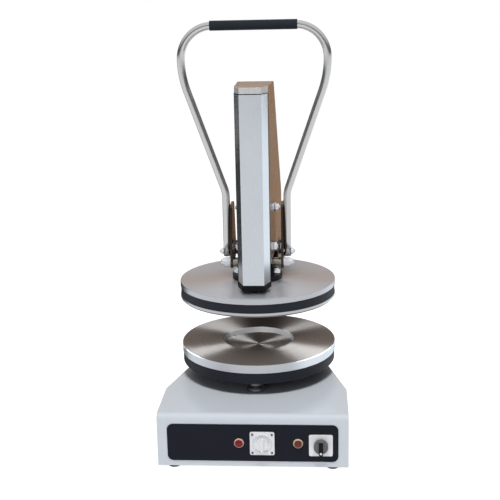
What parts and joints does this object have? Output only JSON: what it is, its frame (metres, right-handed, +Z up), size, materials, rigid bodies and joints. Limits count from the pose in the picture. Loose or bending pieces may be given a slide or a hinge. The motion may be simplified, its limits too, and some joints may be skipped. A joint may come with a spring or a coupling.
{
  "type": "manual pizza dough press",
  "caption": "Tabletop dough press: round heated platens on a tapered base, a C-shaped column, and a hoop handle whose toggle lowers the upper platen.",
  "frame": {"origin": "on the floor, under the middle of the object's bounding box", "axes": "+X to the operator's right, +Y to the back, +Z up"},
  "size_m": [0.374, 0.5512, 0.8535],
  "materials": {
    "painted_grey": "satin",
    "panel_dark": "satin",
    "bare_steel": "satin",
    "rubber_black": "matte",
    "lamp_bezel": "gloss",
    "lens_red": "gloss",
    "lens_amber": "gloss",
    "white_plastic": "semi-gloss",
    "dark_plastic": "matte",
    "knob_grey": "matte",
    "zinc_steel": "bright",
    "black_shield": "matte",
    "ground_steel": "turned",
    "polished_steel": "polished",
    "lever_steel": "dark polished",
    "satin_profile": "satin",
    "sleeve_steel": "satin",
    "dark_steel": "matte",
    "grip_black": "matte"
  },
  "bodies": {
    "base": {"base_housing": "painted_grey", "bottom_plate": "bare_steel", "carrier_plate": "bare_steel", "feet": "rubber_black", "control_panel": "panel_dark", "pilot_bezels": "lamp_bezel", "red_lens": "lens_red", "amber_lens": "lens_amber", "timer_plate": "white_plastic", "timer_body": "dark_plastic", "switch_plate": "white_plastic", "switch_body": "dark_plastic", "panel_screws": "zinc_steel", "cable_gland": "dark_plastic", "terminal_block": "white_plastic", "support_posts": "bare_steel", "post_bolts": "zinc_steel", "lower_ring": "black_shield", "lower_plate": "ground_steel", "lower_heater": "bare_steel", "column_foot": "bare_steel", "column_bolts": "zinc_steel", "side_plate_left": "polished_steel", "side_plate_right": "polished_steel", "back_cover": "polished_steel", "throat_cover": "polished_steel", "frame_spacers": "bare_steel", "frame_bolts": "zinc_steel", "front_profile": "satin_profile", "top_cap": "polished_steel", "guide_bush": "dark_plastic", "spring_hanger": "bare_steel", "return_spring": "bare_steel", "fixed_pin": "zinc_steel", "pin_nuts": "zinc_steel", "pin_clips": "zinc_steel"},
    "links": {"link_left": "lever_steel", "link_right": "lever_steel"},
    "lever": {"lever_left": "lever_steel", "lever_right": "lever_steel", "toggle_pins": "zinc_steel", "handle_tube": "polished_steel", "handle_grip": "grip_black", "handle_bolts": "zinc_steel", "handle_nuts": "zinc_steel", "press_shaft": "zinc_steel", "shaft_sleeves": "sleeve_steel", "shaft_nuts": "zinc_steel"},
    "platen": {"press_plate": "ground_steel", "upper_heater": "bare_steel", "upper_ring": "black_shield", "top_disc": "ground_steel", "platen_flange": "dark_steel", "flange_bolts": "zinc_steel", "pivot_block": "dark_steel", "guide_rod": "dark_steel"},
    "timer": {"timer_dial": "white_plastic"},
    "switch": {"switch_knob": "knob_grey"}
  },
  "joints": [
    {"name": "link_swing", "type": "hinge", "parent": "base", "child": "links", "pos_m": [0, -0.0004, 0.3855], "axis": [-1, 0, 0], "range_deg": [0, 67], "stiffness_Nm_per_rad": 12, "springref_deg": -171.89, "deforming": ["return_spring"]},
    {"name": "lever_swing", "type": "hinge", "parent": "links", "child": "lever", "pos_m": [0, 0.06337, 0.3685], "axis": [1, 0, 0], "range_deg": [0, 134]},
    {"name": "platen_level", "type": "hinge", "parent": "lever", "child": "platen", "pos_m": [0, -0.0004, 0.3515], "axis": [-1, 0, 0], "range_deg": [0, 67]},
    {"name": "timer_turn", "type": "hinge", "parent": "base", "child": "timer", "pos_m": [0.0193, -0.2566, 0.055], "axis": [0, 1, 0], "range_deg": [0, 270]},
    {"name": "switch_turn", "type": "hinge", "parent": "base", "child": "switch", "pos_m": [0.133, -0.2566, 0.052], "axis": [0, 1, 0], "range_deg": [0, 90]}
  ],
  "couplings": [
    {"joint": "lever_swing", "follows": "link_swing", "ratio": 2},
    {"joint": "platen_level", "follows": "link_swing", "ratio": 1}
  ]
}
